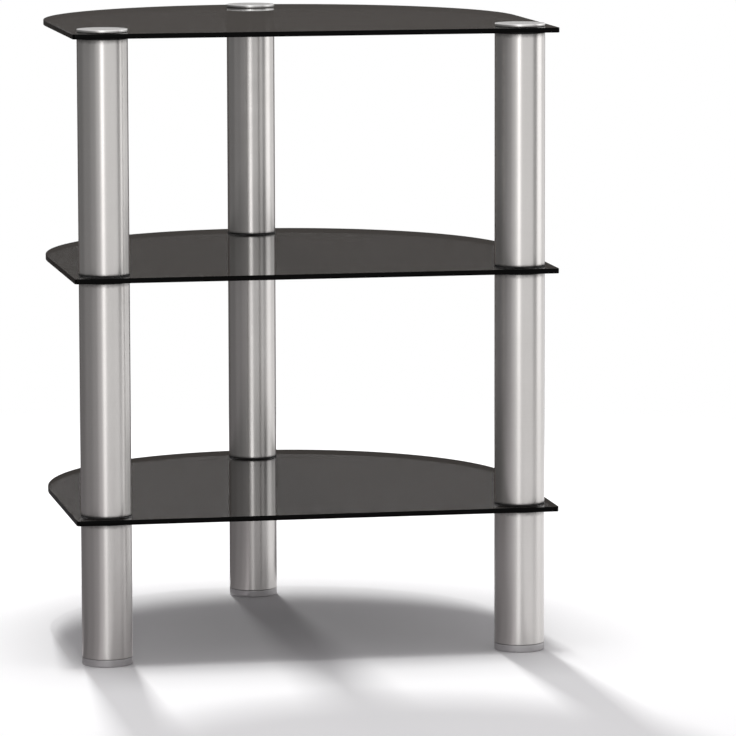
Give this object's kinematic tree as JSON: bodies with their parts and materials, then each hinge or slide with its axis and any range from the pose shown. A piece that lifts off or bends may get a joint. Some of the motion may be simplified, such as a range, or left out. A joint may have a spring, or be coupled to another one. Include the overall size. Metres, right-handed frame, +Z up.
{
  "type": "tv rack",
  "caption": "Free-standing media rack: tinted glass shelves with a half-round back, clamped between round metal tube legs on levelling feet.",
  "frame": {"origin": "centre of the overall box, on the floor", "axes": "+Z up along the legs; +Y from the straight front edge to the half-round back; +X to the right as seen from the front"},
  "size_m": [0.58, 0.545, 0.7536],
  "materials": {
    "smoked_glass": "smoked grey-brown tempered glass, polished",
    "satin_steel": "satin plated, fine grain round the tube",
    "polished_steel": "bright, fine turned face",
    "black_rubber": "matt",
    "grey_plastic": "satin grey",
    "black_nylon": "moulded",
    "zinc_steel": "zinc plated"
  },
  "bodies": {
    "rack": {"shelf_bottom": "smoked_glass", "shelf_middle": "smoked_glass", "shelf_top": "smoked_glass", "tube_left_lower": "satin_steel", "tube_left_middle": "satin_steel", "tube_left_upper": "satin_steel", "tube_right_lower": "satin_steel", "tube_right_middle": "satin_steel", "tube_right_upper": "satin_steel", "tube_rear_lower": "satin_steel", "tube_rear_middle": "satin_steel", "tube_rear_upper": "satin_steel", "insert_left_lower_low": "black_nylon", "insert_left_lower_high": "black_nylon", "insert_left_middle_low": "black_nylon", "insert_left_middle_high": "black_nylon", "insert_left_upper_low": "black_nylon", "insert_left_upper_high": "black_nylon", "insert_right_lower_low": "black_nylon", "insert_right_lower_high": "black_nylon", "insert_right_middle_low": "black_nylon", "insert_right_middle_high": "black_nylon", "insert_right_upper_low": "black_nylon", "insert_right_upper_high": "black_nylon", "insert_rear_lower_low": "black_nylon", "insert_rear_lower_high": "black_nylon", "insert_rear_middle_low": "black_nylon", "insert_rear_middle_high": "black_nylon", "insert_rear_upper_low": "black_nylon", "insert_rear_upper_high": "black_nylon", "washer_left_bottom": "black_rubber", "washer_left_middle": "black_rubber", "washer_left_top": "black_rubber", "washer_right_bottom": "black_rubber", "washer_right_middle": "black_rubber", "washer_right_top": "black_rubber", "washer_rear_bottom": "black_rubber", "washer_rear_middle": "black_rubber", "washer_rear_top": "black_rubber", "seat_ring_left_bottom": "black_rubber", "seat_ring_left_middle": "black_rubber", "seat_ring_right_bottom": "black_rubber", "seat_ring_right_middle": "black_rubber", "seat_ring_rear_bottom": "black_rubber", "seat_ring_rear_middle": "black_rubber", "stud_left_bottom": "zinc_steel", "stud_left_middle": "zinc_steel", "stud_right_bottom": "zinc_steel", "stud_right_middle": "zinc_steel", "stud_rear_bottom": "zinc_steel", "stud_rear_middle": "zinc_steel", "cap_left": "polished_steel", "cap_right": "polished_steel", "cap_rear": "polished_steel"},
    "levelling_foot_left": {"foot_left": "grey_plastic"},
    "levelling_foot_right": {"foot_right": "grey_plastic"},
    "levelling_foot_rear": {"foot_rear": "grey_plastic"}
  },
  "joints": [
    {"name": "foot_left_travel", "type": "slide", "parent": "rack", "child": "levelling_foot_left", "axis": [0, 0, -1], "range_m": [0, 0.01]},
    {"name": "foot_right_travel", "type": "slide", "parent": "rack", "child": "levelling_foot_right", "axis": [0, 0, -1], "range_m": [0, 0.01]},
    {"name": "foot_rear_travel", "type": "slide", "parent": "rack", "child": "levelling_foot_rear", "axis": [0, 0, -1], "range_m": [0, 0.01]}
  ]
}
